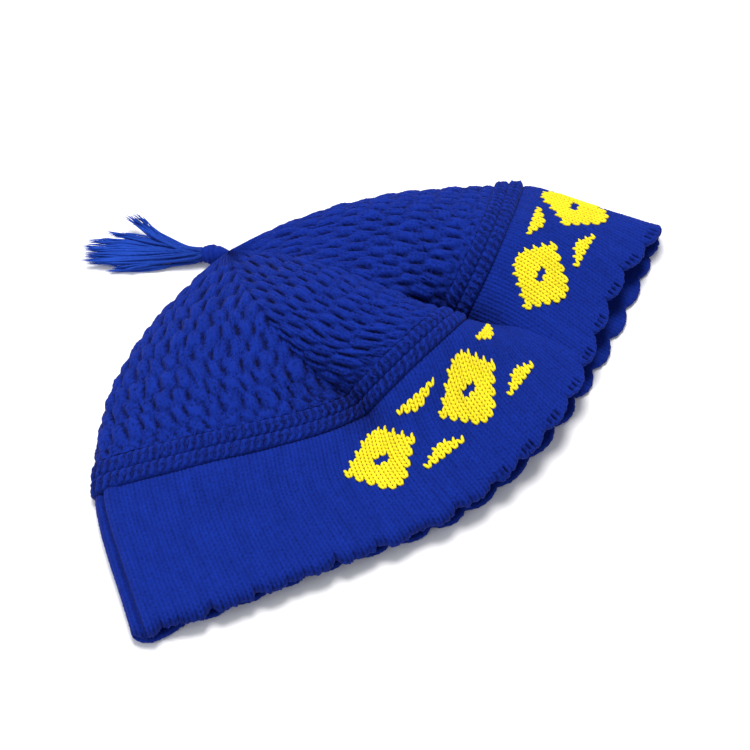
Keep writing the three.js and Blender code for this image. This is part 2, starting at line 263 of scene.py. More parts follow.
def upper_layer(along, across):
    """A section's upper line: a bank between each two neighbouring lines, up to their heights. The
    middle lobe leans over to the right, toward the valley."""
    places = np.array([place(along) for place in place_at])
    rises = np.array([rise(along) for rise in rise_at])
    height = np.zeros(len(across))
    for i, name in enumerate(line_names[:-1]):
        here = (across >= places[i]) & (across <= places[i + 1])
        t = (across[here] - places[i]) / (places[i + 1] - places[i])
        step = rises[i + 1] - rises[i]
        if name in steep_right:
            height[here] = rises[i] + step * np.sin(t * np.pi / 2) ** steep_right[name]
        else:
            bank = np.sin((1 - t) * np.pi / 2) ** steep_left[line_names[i + 1]]
            height[here] = rises[i + 1] - step * bank
    height *= puff
    t = np.clip((across - places[dent]) / (places[valley] - places[dent]), 0, 1)
    lean = lobe_lean * puff * max(0, rises[lobe] - rises[valley]) * np.sin(np.pi * t**lean_side)
    fade = max(0, 1 - along / weltline)
    tuck = np.where(across > 0, np.sin(np.pi * across**2) ** 2, 0) * right_tuck * fade
    drop = drop_across(along, across, over_at(along)) - tuck
    return np.stack([
        hem_half_width * half_at(along) * across + lean,
        -drop - lobe_spread * height,
        lay_thickness / 2 * (1 + fold_fullness(along, across)) + height,
    ], axis=1)


def lower_layer(along, across):
    """A section's lower line, which is flat on the table up to its folds."""
    return np.stack([
        hem_half_width * half_at(along) * across,
        -drop_across(along, across, under_at(along)),
        lay_thickness / 2 * (1 - fold_fullness(along, across)),
    ], axis=1)


# %% [markdown]
# Knitting is counted in wales, which run from the hem to the tip, and courses, which run around.
# So the form is turned into a net with so many columns to a wale and so many rows to a course. A
# subdivided grid would be quicker, but it stretches on the slopes, where real stitches don't, so the
# columns are spread by their distance along the cloth. The crown is knitted in six sectors, three
# of them on top, and the net keeps their edges.

# %% A net over the form
places_across = 701
close_across = np.sin(np.linspace(-np.pi / 2, np.pi / 2, places_across))
# Which of the lines bound the whole top, and which of them bound its three sectors.
whole_top = [0, 6]
sector_edges = [0, 2, 4, 6]


def spread_over(run, at_length):
    """Points along a run of points. at_length turns the run's lengths into the ones to pick."""
    steps = np.linalg.norm(np.diff(run, axis=0), axis=1)
    lengths = np.concatenate([[0], np.cumsum(steps)])
    where = at_length(lengths)
    return np.stack([np.interp(where, lengths, run[:, k]) for k in range(3)], axis=1)


def net(alongs, top_columns, under_columns, edges=whole_top):
    """Points on the outer face, a row for each section. The columns run over the top from the left
    fold to the right one, both folds included, and back underneath without them."""
    parts = len(edges) - 1
    top_shares = np.linspace(0, parts, top_columns + 1)
    under_shares = np.linspace(0, 1, under_columns + 1)[1:-1]
    rows = []
    widths = []
    for along in alongs:
        places = np.array([place(along) for place in place_at])
        across = np.unique(np.concatenate([close_across, places]))
        upper = upper_layer(along, across)

        def top_lengths(lengths):
            at_edges = np.interp(places[edges], across, lengths)
            widths.append(np.diff(at_edges))
            return np.interp(top_shares, range(parts + 1), at_edges)

        top = spread_over(upper, top_lengths)
        under = spread_over(lower_layer(along, close_across)[::-1], lambda s: under_shares * s[-1])
        rows.append(np.concatenate([top, under]))
    points = np.array(rows) + tip
    return points, outward(points), np.array(widths)


def outward(points):
    """The direction that faces away from the cap's inside, at each point of a net."""
    across = np.roll(points, -1, axis=1) - np.roll(points, 1, axis=1)
    upward = np.gradient(points, axis=0)
    normal = np.cross(across, upward)
    return normal / np.maximum(np.linalg.norm(normal, axis=2, keepdims=True), 1e-9)


def smoothstep(low, high, value):
    """0 below low and 1 above high, with a smooth rise between them."""
    t = np.clip((value - low) / (high - low), 0, 1)
    return t * t * (3 - 2 * t)


# %% [markdown]
# A mesh is a list of points and a list of faces, and a net's faces are the quads between its rows.
# Where a fine net meets a coarse one, triangles zip the two edges together, several on the fine
# side for each one on the coarse side. A plain gap there would leave the mesh open.

# %% Faces between rows of points
def quads_of(index, close_rows=False, close_columns=False):
    """Quads over a grid of point numbers, facing out where rows run up and columns to the right."""
    if close_rows:
        index = np.vstack([index, index[:1]])
    if close_columns:
        index = np.hstack([index, index[:, :1]])
    corners = [index[:-1, :-1], index[:-1, 1:], index[1:, 1:], index[1:, :-1]]
    return np.stack(corners, axis=2).reshape(-1, 4).tolist()


def zipped(many, few):
    """Triangles between two edges, with several points on the first for each step on the second."""
    ratio = (len(many) - 1) // (len(few) - 1)
    half = ratio // 2
    faces = []
    for j in range(len(few) - 1):
        first = j * ratio
        for i in range(ratio):
            near = few[j] if i < half else few[j + 1]
            faces.append([many[first + i], many[first + i + 1], near])
        faces.append([few[j + 1], few[j], many[first + half]])
    return faces


def turned(faces):
    """The same faces, looking the other way."""
    return [face[::-1] for face in faces]


# %% [markdown]
# Each piece becomes one mesh. Beside its place, every point carries what the yarn needs to know:
# which wale and course it is on, and how much painted shade it gets, most of it from how deep it
# lies in a hollow between the stitches. An image laid over the piece could carry that too, but
# values at the points fit the stitches exactly.

# %% A piece of the cap
sharp_bend = math.radians(70)


def new_piece(name, points, faces, knit, finish, slot, *nodes):
    mesh = bpy.data.meshes.new(name)
    mesh.from_pydata((np.asarray(points) * mm).tolist(), [], faces)
    mesh.validate()
    mesh.shade_smooth()
    mesh.set_sharp_from_angle(angle=sharp_bend)
    layer = mesh.attributes.new("knit", "FLOAT_VECTOR", "POINT")
    layer.data.foreach_set("vector", np.asarray(knit, float).ravel())
    mesh.materials.append(finish)
    piece = bpy.data.objects.new(name, mesh)
    bpy.context.scene.collection.objects.link(piece)
    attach(piece, "root")
    if nodes:
        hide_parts(*nodes)
    triangles = sum(len(face) - 2 for face in faces)
    print(name, "has", triangles, "triangles")
    return piece


# %% [markdown]
# The yarn is mercerised cotton, spun in plies and knitted. Dyed cotton is matt, with a faint sheen
# from its short fibres. Light reaches the crests of the stitches but not the hollows, and yarn that
# is dyed this deep looks nearly black there, so the hollows get a darker colour of their own, which
# is painted shade.

# %% Colours and one helper for nodes
def linear(hex_colour):
    """A colour as a screen shows it, turned into the linear one that the shader works with."""
    channels = [int(hex_colour[i:i + 2], 16) / 255 for i in (1, 3, 5)]
    bent = [c / 12.92 if c <= 0.04045 else ((c + 0.055) / 1.055) ** 2.4 for c in channels]
    return (*bent, 1)


def add_node(tree, kind, settings=None, **links):
    """Adds a node. Each link is an input's name, with a value or another node's output."""
    node = tree.nodes.new(kind)
    for key, value in (settings or {}).items():
        setattr(node, key, value)
    for key, value in links.items():
        socket = node.inputs[int(key[1:])] if key[0] == "i" and key[1:].isdigit() else node.inputs[key]
        if isinstance(value, bpy.types.NodeSocket):
            tree.links.new(value, socket)
        else:
            socket.default_value = value
    return node


# %% Knitted cotton yarn
# Real fibres are 0.02 mm across, so their pattern is drawn as coarse as it needs to show.
fibre_size = 0.9 * mm
fibre_height = 0.4 * mm
fibre_contrast = 1.1
# Dye takes a little unevenly: streaks are about 1.5 wales wide and 8 courses long.
streak_pace = (0.7, 0.12, 0)
streak_contrast = 0.5


def cotton_yarn(name, crest, hollow_shade, fibre_bump):
    """Crest is the colour of a stitch's top. The hollow colour is painted shade, for the gaps between
    stitches.
    """
    finish = bpy.data.materials.new(name)
    finish.use_nodes = True
    tree = finish.node_tree
    shader = tree.nodes["Principled BSDF"]
    place = add_node(tree, "ShaderNodeTexCoord").outputs["Object"]
    knit = add_node(tree, "ShaderNodeAttribute", {"attribute_name": "knit"}).outputs["Vector"]
    parts = add_node(tree, "ShaderNodeSeparateXYZ", Vector=knit)
    fibres = add_node(tree, "ShaderNodeTexNoise", Vector=place,
                      Scale=1 / fibre_size, Detail=4.0, Roughness=0.7)
    stretched = add_node(tree, "ShaderNodeVectorMath", {"operation": "MULTIPLY"},
                         i0=knit, i1=streak_pace)
    streaks = add_node(tree, "ShaderNodeTexNoise", Vector=stretched.outputs[0], Scale=1.0, Detail=2.0)
    shade = add_node(tree, "ShaderNodeMath", {"operation": "MULTIPLY_ADD"},
                     i0=fibres.outputs["Fac"], i1=fibre_contrast, i2=-fibre_contrast / 2)
    # Painted shade: the knit value's depth, with the fibres' random tone, mixes the crest colour toward the
    # hollow one.
    depth = add_node(tree, "ShaderNodeMath", {"operation": "ADD", "use_clamp": True},
                     i0=parts.outputs["Z"], i1=shade.outputs[0])
    colour = add_node(tree, "ShaderNodeMix", {"data_type": "RGBA"}, i0=depth.outputs[0],
                      i6=linear(crest), i7=linear(hollow_shade))
    value = add_node(tree, "ShaderNodeMath", {"operation": "MULTIPLY_ADD"},
                     i0=streaks.outputs["Fac"], i1=streak_contrast, i2=1 - streak_contrast / 2)
    dyed = add_node(tree, "ShaderNodeHueSaturation", Value=value.outputs[0], Color=colour.outputs[2])
    tree.links.new(dyed.outputs[0], shader.inputs["Base Color"])
    bump = add_node(tree, "ShaderNodeBump", Height=fibres.outputs["Fac"], Strength=fibre_bump,
                    Distance=fibre_height)
    tree.links.new(bump.outputs[0], shader.inputs["Normal"])
    # Cotton bends light like other plants' fibres, but yarn scatters it, which leaves hardly a gloss.
    shader.inputs["Roughness"].default_value = 0.85
    shader.inputs["IOR"].default_value = 1.5
    shader.inputs["Specular IOR Level"].default_value = 0.08
    shader.inputs["Sheen Weight"].default_value = 0.03
    shader.inputs["Sheen Roughness"].default_value = 0.4
    return finish


# %% The three yarns
# The knitted blue is deep. Its hollow colour, nearly black, is painted shade between the stitches.
blue_yarn = cotton_yarn("blue cotton yarn", crest="#0e2a8c", hollow_shade="#030a3c", fibre_bump=0.9)
# The same yarn, cut and opened in the tassel, has paler colours: painted light for the light that goes
# through its loose plies.
loose_yarn = cotton_yarn("loose blue cotton yarn", crest="#2048b0", hollow_shade="#081c66", fibre_bump=0.5)
# The yellow is as bright as the light allows. Its hollow colour, amber, is painted shade between the
# stitches.
yellow_yarn = cotton_yarn("yellow cotton yarn", crest="#f4e62a", hollow_shade="#a2740c", fibre_bump=0.4)
print("materials:", [m.name for m in bpy.data.materials if "yarn" in m.name])

# %% [markdown]
# The table is a plain white board. It is lit almost to white, so only the soft shadows show on it.
# A backdrop that curves up behind could hide its far edge, but this is simply larger than the view.

# %% Table
def make_table():
    half_side = 4.0
    mesh = bpy.data.meshes.new("table_top")
    corners = [(x * half_side, y * half_side, 0) for x, y in ((-1, -1), (1, -1), (1, 1), (-1, 1))]
    mesh.from_pydata(corners, [], [(0, 1, 2, 3)])
    paint = bpy.data.materials.new("white matt board")
    paint.use_nodes = True
    shader = paint.node_tree.nodes["Principled BSDF"]
    shader.inputs["Base Color"].default_value = linear("#fbfbfd")
    shader.inputs["Roughness"].default_value = 0.9
    shader.inputs["Specular IOR Level"].default_value = 0.1
    mesh.materials.append(paint)
    table = bpy.data.objects.new("table_top", mesh)
    bpy.context.scene.collection.objects.link(table)


make_table()

# %% [markdown]
# A plain knitted stitch shows as two legs that lean apart toward the crown, like a V. The next
# stitch grows out of the V, so the legs overlap like grains in an ear of wheat. Real loops of yarn
# would take millions of faces, so each leg is one long rounded bump on the net, and the taller of
# two bumps that overlap is what the eye sees.

# %% The height of a plain stitch
wales_on_top = 90
band_courses = 30
wale_width = 2.75
course_height = band_depth / band_courses
leg_reach = 1.05 * course_height
leg_width = 0.275 * wale_width
leg_lean = math.radians(17)
leg_dip = 0.18


def plain_stitches(wale, course):
    """How high the yarn stands at each place, from 0 in the gaps to 1 on a crest."""
    x = (wale - np.floor(wale) - 0.5) * wale_width
    y = (course - np.floor(course) - 0.5) * course_height
    height = np.zeros(np.broadcast(wale, course).shape)
    for side in (-1, 1):
        for row in (-1, 0, 1):
            dx = x - side * wale_width / 4
            dy = y - row * course_height
            lengthwise = side * dx * math.sin(leg_lean) + dy * math.cos(leg_lean)
            sideways = dx * math.cos(leg_lean) - side * dy * math.sin(leg_lean)
            dome = 1 - (lengthwise / leg_reach) ** 2 - (sideways / leg_width) ** 2
            leg = np.sqrt(np.clip(dome, 0, 1)) * (1 - leg_dip * lengthwise / leg_reach)
            height = np.maximum(height, leg)
    return height


# %% [markdown]
# No hand keeps its tension quite even, and cotton sheds short fibres. A noise in the material could
# hint at both, but the outline of the cap has to show them too, so the points themselves are moved:
# by a slow swell, and by a little chance at each point.

# %% Slight unevenness of the hand
swell_height = 0.16
fibre_seed = 11


def unevenness(points):
    """A slow swell over the surface, in millimetres. The divisors are the lengths of its waves."""
    x, y = points[..., 0], points[..., 1]
    swell = np.sin(x / 7.1 + 1.3) * np.sin(y / 9.3 + 0.4)
    swell += 0.7 * np.sin(x / 4.3 - y / 11.0 + 2.1) + 0.6 * np.sin(x / 13.0 + y / 5.7)
    return swell_height * swell


loose_fibres = np.random.default_rng(fibre_seed)


def fuzz(shape):
    """Heights of loose fibres. They are as coarse as the net, since real ones are too fine to show."""
    return loose_fibres.standard_normal(shape)


# %% [markdown]
# Where the knit is pressed on the table, its stitches are flattened. Deep in a fold it looks darker
# than the shadow alone would make it, because light that goes from dyed yarn to dyed yarn loses its
# brightness. So each place is compared with the places beside it, and a lower one gets a darker colour.

# %% Pressed places, folds, and points that move out with the stitches
proud_share = 0.55
table_clearance = 0.05
fold_shade = 0.07
fold_shade_reach = 14


def lifted(normal):
    """1 where the surface is free, falling to 0 where it is pressed on the table."""
    return smoothstep(-0.75, -0.2, normal[..., 2])


def sunk(points, top, reach):
    """How deep each place on top lies in a fold, in millimetres, against places reach columns away."""
    height = points[:, :top + 1, 2]
    wide = np.pad(height, ((0, 0), (reach, reach)), mode="edge")
    depth = np.zeros(points.shape[:2])
    depth[:, :top + 1] = np.clip((wide[:, 2 * reach:] + wide[:, :-2 * reach]) / 2 - height, 0, None)
    return depth


def moved(points, normal, relief, amount, fuzz_height):
    """Moves a net out by relief, from 0 to 1, times amount. On the table it is only carved in."""
    rise = amount * (relief - 1 + proud_share * lifted(normal)) + unevenness(points) * lifted(normal)
    rise += fuzz_height * fuzz(rise.shape) * lifted(normal)
    placed = points + normal * rise[..., None]
    placed[..., 2] = np.maximum(placed[..., 2], table_clearance)
    return placed


# %% [markdown]
# A knitted tube is a shell: an outer face with stitches, an inner face and a rim at each end. The
# solidify modifier could thicken one face, but it would repeat every fine point inside, where nobody
# looks. So the underside gets fewer points than the top, and the inside fewer still. The crown's
# shell has no upper rim: its inside is drawn together like a purse, and its outside ends in a point.

# %% Wales and columns
def wales_around(top, under):
    """The wale of each column of a net, over the top and then underneath."""
    above = np.linspace(0, wales_on_top, top + 1)
    below = wales_on_top + np.linspace(0, wales_on_top, under + 1)[1:-1]
    return np.concatenate([above, below])


def lining(points, normal, knit, wall, rows, columns, depth):
    """The inner face: the net moved in by the wall, on some of its rows and columns."""
    inside = (points - wall * normal)[rows][:, columns]
    inside_knit = knit[rows][:, columns].copy()
    # depth sets how much painted shade the inner face gets.
    inside_knit[..., 2] = depth
    return inside, inside_knit


def lining_columns(top, under, top_step, under_step):
    """Numbers of the columns that the inner face keeps."""
    return np.concatenate([np.arange(0, top + 1, top_step), top + np.arange(under_step, under, under_step)])


# %% A shell with a fine top, a coarser underside and a plain inside
def rim(top_row, under_row, inner_row):
    """Triangles from the outer edge of a shell to its inner edge, all the way round."""
    inner_top = len(inner_row) // 2
    over = zipped(top_row, inner_row[:inner_top + 1])
    below = zipped([top_row[-1], *under_row, top_row[0]], [*inner_row[inner_top:], inner_row[0]])
    return over + below


def drawn_together(ring):
    """Faces that close a ring, from each point over the top to the one across from it below."""
    count = len(ring)
    faces = []
    for j in range(count // 2):
        corners = [ring[j], ring[j + 1], ring[(-j - 1) % count], ring[-j % count]]
        faces.append(list(dict.fromkeys(corners)))
    return faces


def shell(placed, knit, inside, inside_knit, top, row_ratio, tip_point=None):
    """Points, knit values and faces of a shell. The net's columns run over the top up to the column
    number top, and then underneath. The underside keeps one row in row_ratio."""
    blocks = [placed[:, :top + 1], placed[::row_ratio, top + 1:], inside]
    knits = [knit[:, :top + 1], knit[::row_ratio, top + 1:], inside_knit]
    index = []
    start = 0
    for block in blocks:
        size = block.shape[0] * block.shape[1]
        index.append(start + np.arange(size).reshape(block.shape[:2]))
        start += size
    over, under, inner = index
    faces = quads_of(over) + quads_of(under)
    faces += turned(zipped(over[:, -1].tolist(), under[:, 0].tolist()))
    faces += zipped(over[:, 0].tolist(), under[:, -1].tolist())
    faces += turned(quads_of(inner, close_columns=True))
    faces += turned(rim(over[0].tolist(), under[0].tolist(), inner[0].tolist()))
    points = np.concatenate([block.reshape(-1, 3) for block in blocks])
    values = np.concatenate([block.reshape(-1, 3) for block in knits])
    if tip_point is None:
        faces += rim(over[-1].tolist(), under[-1].tolist(), inner[-1].tolist())
    else:
        ring = [*over[-1].tolist(), *under[-1].tolist()]
        points = np.vstack([points, tip_point])
        values = np.vstack([values, values[ring[0]]])
        faces += [[ring[i], ring[(i + 1) % len(ring)], start] for i in range(len(ring))]
        faces += turned(drawn_together(inner[-1].tolist()))
    return points, values, faces


# %% [markdown]
# A motif is worked into the band with yellow yarn: a run of stepped diamonds with triangles between
# them, an old pattern of knitters. It could be painted on through an image, but a knitter's chart
# says it in a few lines, and keeps it to whole stitches: each sign in the chart is one of them.

# %% The chart of the motif
diamond_chart = [
    "....##...######",
    "...####...####.",
    "...####....##..",
    "..######.......",
    "..######.......",
    ".########......",
    ".########......",
    "####..####.....",
    "####..####.....",
    ".########......",
    ".########......",
    "..######.......",
    "..######.......",
    "...####....##..",
    "...####...####.",
    "....##...######",
]
motif_low_course = 9
motif_first_wales = (31, 45, 67, 81)


def motif_stitches():
    """Wale and course of each yellow stitch. The last diamond goes on around the right fold."""
    stitches = []
    for first_wale in motif_first_wales:
        for row, line in enumerate(reversed(diamond_chart)):
            for column, sign in enumerate(line):
                if sign == "#":
                    stitches.append((first_wale + column, motif_low_course + row))
    return stitches


yellow_stitches = motif_stitches()
print(len(yellow_stitches), "yellow stitches")

# %% [markdown]
# The cap was stored flat, so its left fold is pressed: beside it runs a groove, and then a round
# ridge. At the right fold the layers turn in a fuller bend. Both are heights along the net's normal,
# in geometry, because a bump in the material would vanish where the fold meets the outline.

# %% The pressed fold at the left and the full one at the right
fold_crease_at = 4.6
groove_depth = 1.5
groove_reach = 0.9
ridge_height = 1.1
ridge_reach = 2.2
ridge_from_groove = 3.8
full_fold_height = 1.3
full_fold_wales = 5


def full_fold(wale):
    """Extra height at the right fold, where the layers turn in a fuller bend, in millimetres."""
    return full_fold_height * np.exp(-((wale - wales_on_top) / full_fold_wales) ** 2)


def pressed_fold(wale):
    """Heights at both folds, in millimetres, and 1 where the left one's groove is deepest."""
    from_groove = wale * wale_width - fold_crease_at
    groove = np.exp(-(from_groove / groove_reach) ** 2)
    ridge = np.exp(-((from_groove - ridge_from_groove) / ridge_reach) ** 2)
    return ridge_height * ridge - groove_depth * groove + full_fold(wale), groove


# %% [markdown]
# The band is stockinette: columns of V-shaped stitches, as fine as the yarn allows. A bump map would
# show them from above but leave the outline smooth, so it is one fine net, moved out by the height
# of its stitches. It is drawn in a little under the welt, where the first purl row pulls at it, and
# its stitches lie deeper where yellow ones cover them.

# %% Band
columns_to_a_wale = 8
columns_below = 2
rows_to_a_course = 4
band_relief = 0.62
band_fuzz = 0.06
covered_relief = 0.1
welt_dip = 0.8
welt_dip_reach = 1.2


def covered_by_motif(wale, course):
    """Whether each place lies under a yellow stitch."""
    marked = np.zeros((band_courses + 1, 2 * wales_on_top + 1), bool)
    for stitch_wale, stitch_course in yellow_stitches:
        marked[stitch_course, stitch_wale] = True
    return marked[np.floor(course).astype(int), np.floor(wale).astype(int)]


def make_band():
    top = wales_on_top * columns_to_a_wale
    under = wales_on_top * columns_below
    rows = band_courses * rows_to_a_course
    alongs = np.linspace(band_start, weltline - half_gap, rows + 1)
    points, normal = net(alongs, top, under)[:2]
    wale, course = np.meshgrid(wales_around(top, under), np.linspace(0, band_courses, rows + 1))
    covered = covered_by_motif(wale, course)
    relief = plain_stitches(wale, course)
    relief = np.where(covered, covered_relief * relief, relief)
    placed = moved(points, normal, relief, band_relief, band_fuzz)
    from_welt = (1 - course / band_courses) * band_depth
    dip = welt_dip * np.exp(-from_welt / welt_dip_reach)
    swell, groove = pressed_fold(wale)
    placed += normal * ((swell - dip) * lifted(normal))[..., None]

    # Painted shade: darker in the gaps between stitches, under the yellow stitches, in the groove of the
    # pressed fold, where the band dips under the welt and deep in folds. The fuzz adds random tone.
    in_fold = sunk(points, top, 5 * columns_to_a_wale) * np.exp(-(from_welt / fold_shade_reach) ** 2)
    depth = 0.75 * (1 - relief) + 0.6 * covered + 0.35 * groove + 0.2 * dip
    depth += 0.1 * fuzz(relief.shape) + fold_shade * in_fold
    knit = np.stack([wale, course, np.clip(depth, 0, 1)], axis=2)

    columns = lining_columns(top, under, columns_to_a_wale, columns_below)
    some_rows = slice(None, None, rows_to_a_course)
    inside, inside_knit = lining(points, normal, knit, band_wall, some_rows, columns, 0.1)
    vertices, values, faces = shell(placed, knit, inside, inside_knit, top, rows_to_a_course)
    new_piece("band", vertices, faces, values, blue_yarn, "blue_yarn", "band")
    return points, normal


band_net = make_band()

# %% [markdown]
# The stitches of the motif are modelled one by one. A colour on the band's own stitches would be
# simpler, but these are the brightest thing on the cap, and the eye reads each leg: the ends of a
# bar of stitches show as points on top and as rounds below. Every leg is a small closed lump that
# is bent over the band's net, so it follows each fold, also the one at the right.

# %% One leg of a yellow stitch
leg_sides = 8
leg_rings = 6
yellow_leg_reach = 0.98 * leg_reach
yellow_leg_width = 0.84 * leg_width
yellow_leg_height = 0.5
yellow_leg_base = 0.12
yellow_leg_tilt = 0.14
leg_turn = np.linspace(0, 2 * np.pi, leg_sides, endpoint=False)
leg_share = np.linspace(-1, 1, leg_rings + 2)
leg_fullness = np.sqrt(np.clip(1 - leg_share**2, 0, 1)) ** 0.7


def column_at(wale):
    """The band's net has fewer columns to a wale underneath than on top."""
    beyond = np.maximum(wale - wales_on_top, 0)
    return np.minimum(wale, wales_on_top) * columns_to_a_wale + beyond * columns_below


def on_net(points, normal, column, row):
    """Points and normals of a net at places between its rows and columns."""
    c = np.clip(np.floor(column).astype(int), 0, points.shape[1] - 2)
    r = np.clip(np.floor(row).astype(int), 0, points.shape[0] - 2)
    s = (column - c)[..., None]
    t = (row - r)[..., None]

    def between(a):
        near = a[r, c] * (1 - s) + a[r, c + 1] * s
        far = a[r + 1, c] * (1 - s) + a[r + 1, c + 1] * s
        return near * (1 - t) + far * t

    return between(points), between(normal)


def yellow_leg(wale, course, side):
    """Rings round one leg, from its foot to its top. Side is -1 for the left leg and 1 for the right."""
    points, normal = band_net
    lengthwise = leg_share[:, None] * yellow_leg_reach + 0 * leg_turn
    sideways = leg_fullness[:, None] * yellow_leg_width * np.cos(leg_turn)
    up = leg_fullness[:, None] * yellow_leg_height * np.sin(leg_turn)
    up = up + yellow_leg_base - yellow_leg_tilt * leg_share[:, None]
    x = side * wale_width / 4 + side * lengthwise * math.sin(leg_lean)
    x = x + sideways * math.cos(leg_lean)
    y = lengthwise * math.cos(leg_lean) - side * sideways * math.sin(leg_lean)
    exact_wale = wale + 0.5 + x / wale_width
    row = (course + 0.5 + y / course_height) * rows_to_a_course
    base, outside = on_net(points, normal, column_at(exact_wale), row)
    rings = base + outside * (up + full_fold(exact_wale) * lifted(outside))[..., None]
    rings[..., 2] = np.maximum(rings[..., 2], table_clearance)
    return rings


def leg_faces():
    """Faces of one leg: its rings come first, and then the points at its foot and its top."""
    index = np.arange(leg_rings * leg_sides).reshape(leg_rings, leg_sides)
    foot, head = index.size, index.size + 1
    faces = quads_of(index, close_columns=True)
    for i in range(leg_sides):
        faces.append([int(index[0, (i + 1) % leg_sides]), int(index[0, i]), foot])
    for i in range(leg_sides):
        faces.append([int(index[-1, i]), int(index[-1, (i + 1) % leg_sides]), head])
    return turned(faces)


# %% Motif
def make_motif():
    # Painted shade: the sides and both ends of each leg get more of the amber hollow colour.
    edge = np.abs(np.cos(leg_turn))[None, :] ** 3 * np.ones((leg_rings, 1))
    depth = np.clip(0.6 * edge + 0.7 * np.abs(leg_share[1:-1, None]) ** 3, 0, 1)
    depths = [*depth.ravel(), 0.9, 0.9]
    one_leg = leg_faces()
    vertices = []
    knit = []
    faces = []
    for wale, course in yellow_stitches:
        for side in (-1, 1):
            rings = yellow_leg(wale, course, side)
            faces += [[len(vertices) + i for i in face] for face in one_leg]
            vertices.extend(rings[1:-1].reshape(-1, 3))
            vertices.extend([rings[0, 0], rings[-1, 0]])
            knit.extend([(wale, course, d) for d in depths])
    new_piece("band_motif", np.array(vertices), faces, knit, yellow_yarn, "yellow_yarn")


make_motif()

# %% [markdown]
# The crown is worked in a honeycomb stitch: plump ovals, each set between two of the row below,
# with a small hole at each side. Real ones are made by slipping stitches and knitting them later.
# A voronoi texture would be quick, but its cells are as irregular as pebbles, so each oval is a
# dome at its own place in a staggered grid, and plain stitches show through between the domes.

# %% The height of the honeycomb
ovals_in_a_sector = 16
oval_rows = 11
oval_half_width = 0.52
oval_half_height = 0.72


def wandering(x, y):
    """Shifts places a little, so that the rows of ovals are as uneven as handwork."""
    across = 0.10 * np.sin(1.9 * y + 0.8 * x) + 0.07 * np.sin(3.1 * x - 1.3 * y)
    return x + across, y + 0.12 * np.sin(2.3 * x + 1.1 * y) + 0.05 * np.sin(5.3 * x)


def honeycomb(x, y):
    """x is in ovals from the middle of a sector, and y in rows from the welt."""
    height = np.zeros(x.shape)
    for near in (-1, 0, 1):
        level = np.round(y) + near
        shift = 0.5 * (level % 2)
        middle = np.round(x - shift) + shift
        vigour = 1 + 0.14 * np.sin(12.9 * middle + 78.2 * level)
        dome = 1 - ((x - middle) / oval_half_width) ** 2 - ((y - level) / oval_half_height) ** 2
        height = np.maximum(height, vigour * np.clip(dome, 0, 1) ** 0.85)
    return height


# %% [markdown]
# The holes are dark dots in a staggered grid. They aren't cut through the knit, since the inside
# would show as a flat sheet behind them. Each is a pit that the light hardly enters, some of them
# deeper than others. The stitches between them have small pits of their own.

# %% Pits between the stitches
hole_half_width = 0.17
hole_half_height = 0.22
small_half_width = 0.24
small_half_height = 0.36


def scattered(x, y):
    """A number from 0 to 1 that looks like chance, but is always the same for the same x and y."""
    wide = 43758.5453 * np.sin(12.9898 * x + 78.233 * y)
    return wide - np.floor(wide)


def pits(x, y):
    """Holes, 1 where they are deepest: one at each side of an oval, and small ones between stitches."""
    level = np.round(y)
    shift = 0.5 * (level % 2) + 0.5
    side = np.round(x - shift) + shift
    holes = np.exp(-((x - side) / hole_half_width) ** 2 - ((y - level) / hole_half_height) ** 2)
    holes *= 0.55 + 0.45 * scattered(2 * side, level)
    wale = np.round(2 * x)
    course = 4 * y + 0.5 * (wale % 2)
    row = np.round(course)
    small = np.exp(-((2 * x - wale) / small_half_width) ** 2 - ((course - row) / small_half_height) ** 2)
    return np.maximum(holes, 0.9 * scattered(wale, row) ** 1.6 * small)


# %% [markdown]
# In each sector the columns of ovals run straight, and the seams between sectors cut them off at the
# edge. Toward the tip the knit is drawn up on a strand, which turns it into fine ribs. The rows next
# to the welt are kept calm, because a hole half under the roll would look like a dashed line.

# %% The crown's net
crown_columns_to_an_oval = 11
crown_rows_to_a_row = 12
crown_end = 0.996
crown_top = 3 * ovals_in_a_sector * crown_columns_to_an_oval
crown_under = crown_top // 2
crown_alongs = np.linspace(crown_start + half_gap, crown_end, oval_rows * crown_rows_to_a_row + 1)


def place_in_sector(points, widths):
    """How many sectors round each column lies, how far each point is from the middle of its sector,
    and how wide the sector is there. The three sectors underneath share the width there."""
    above = np.linspace(0, 3, crown_top + 1)
    below = 3 + np.linspace(0, 3, crown_under + 1)[1:-1]
    sector_share = np.concatenate([above, below])
    sector = np.clip(np.floor(sector_share).astype(int), 0, 5)
    under_width = np.linalg.norm(np.diff(points[:, crown_top:], axis=1), axis=2).sum(axis=1) / 3
    width = np.concatenate([widths, np.repeat(under_width[:, None], 3, axis=1)], axis=1)[:, sector]
    return sector_share, (sector_share - sector - 0.5) * width, width


# %% Crown
inner_step = 12
crown_relief = 1.8
crown_fuzz = 0.15
gather_depth = 9
ribs_on_top = 34
calm_reach = 1.3
calm_level = 0.65
seam_reach = 1.3
lined_share = 0.82
underside_step = 2
tip_beyond = np.array([0, 0.6, 0])


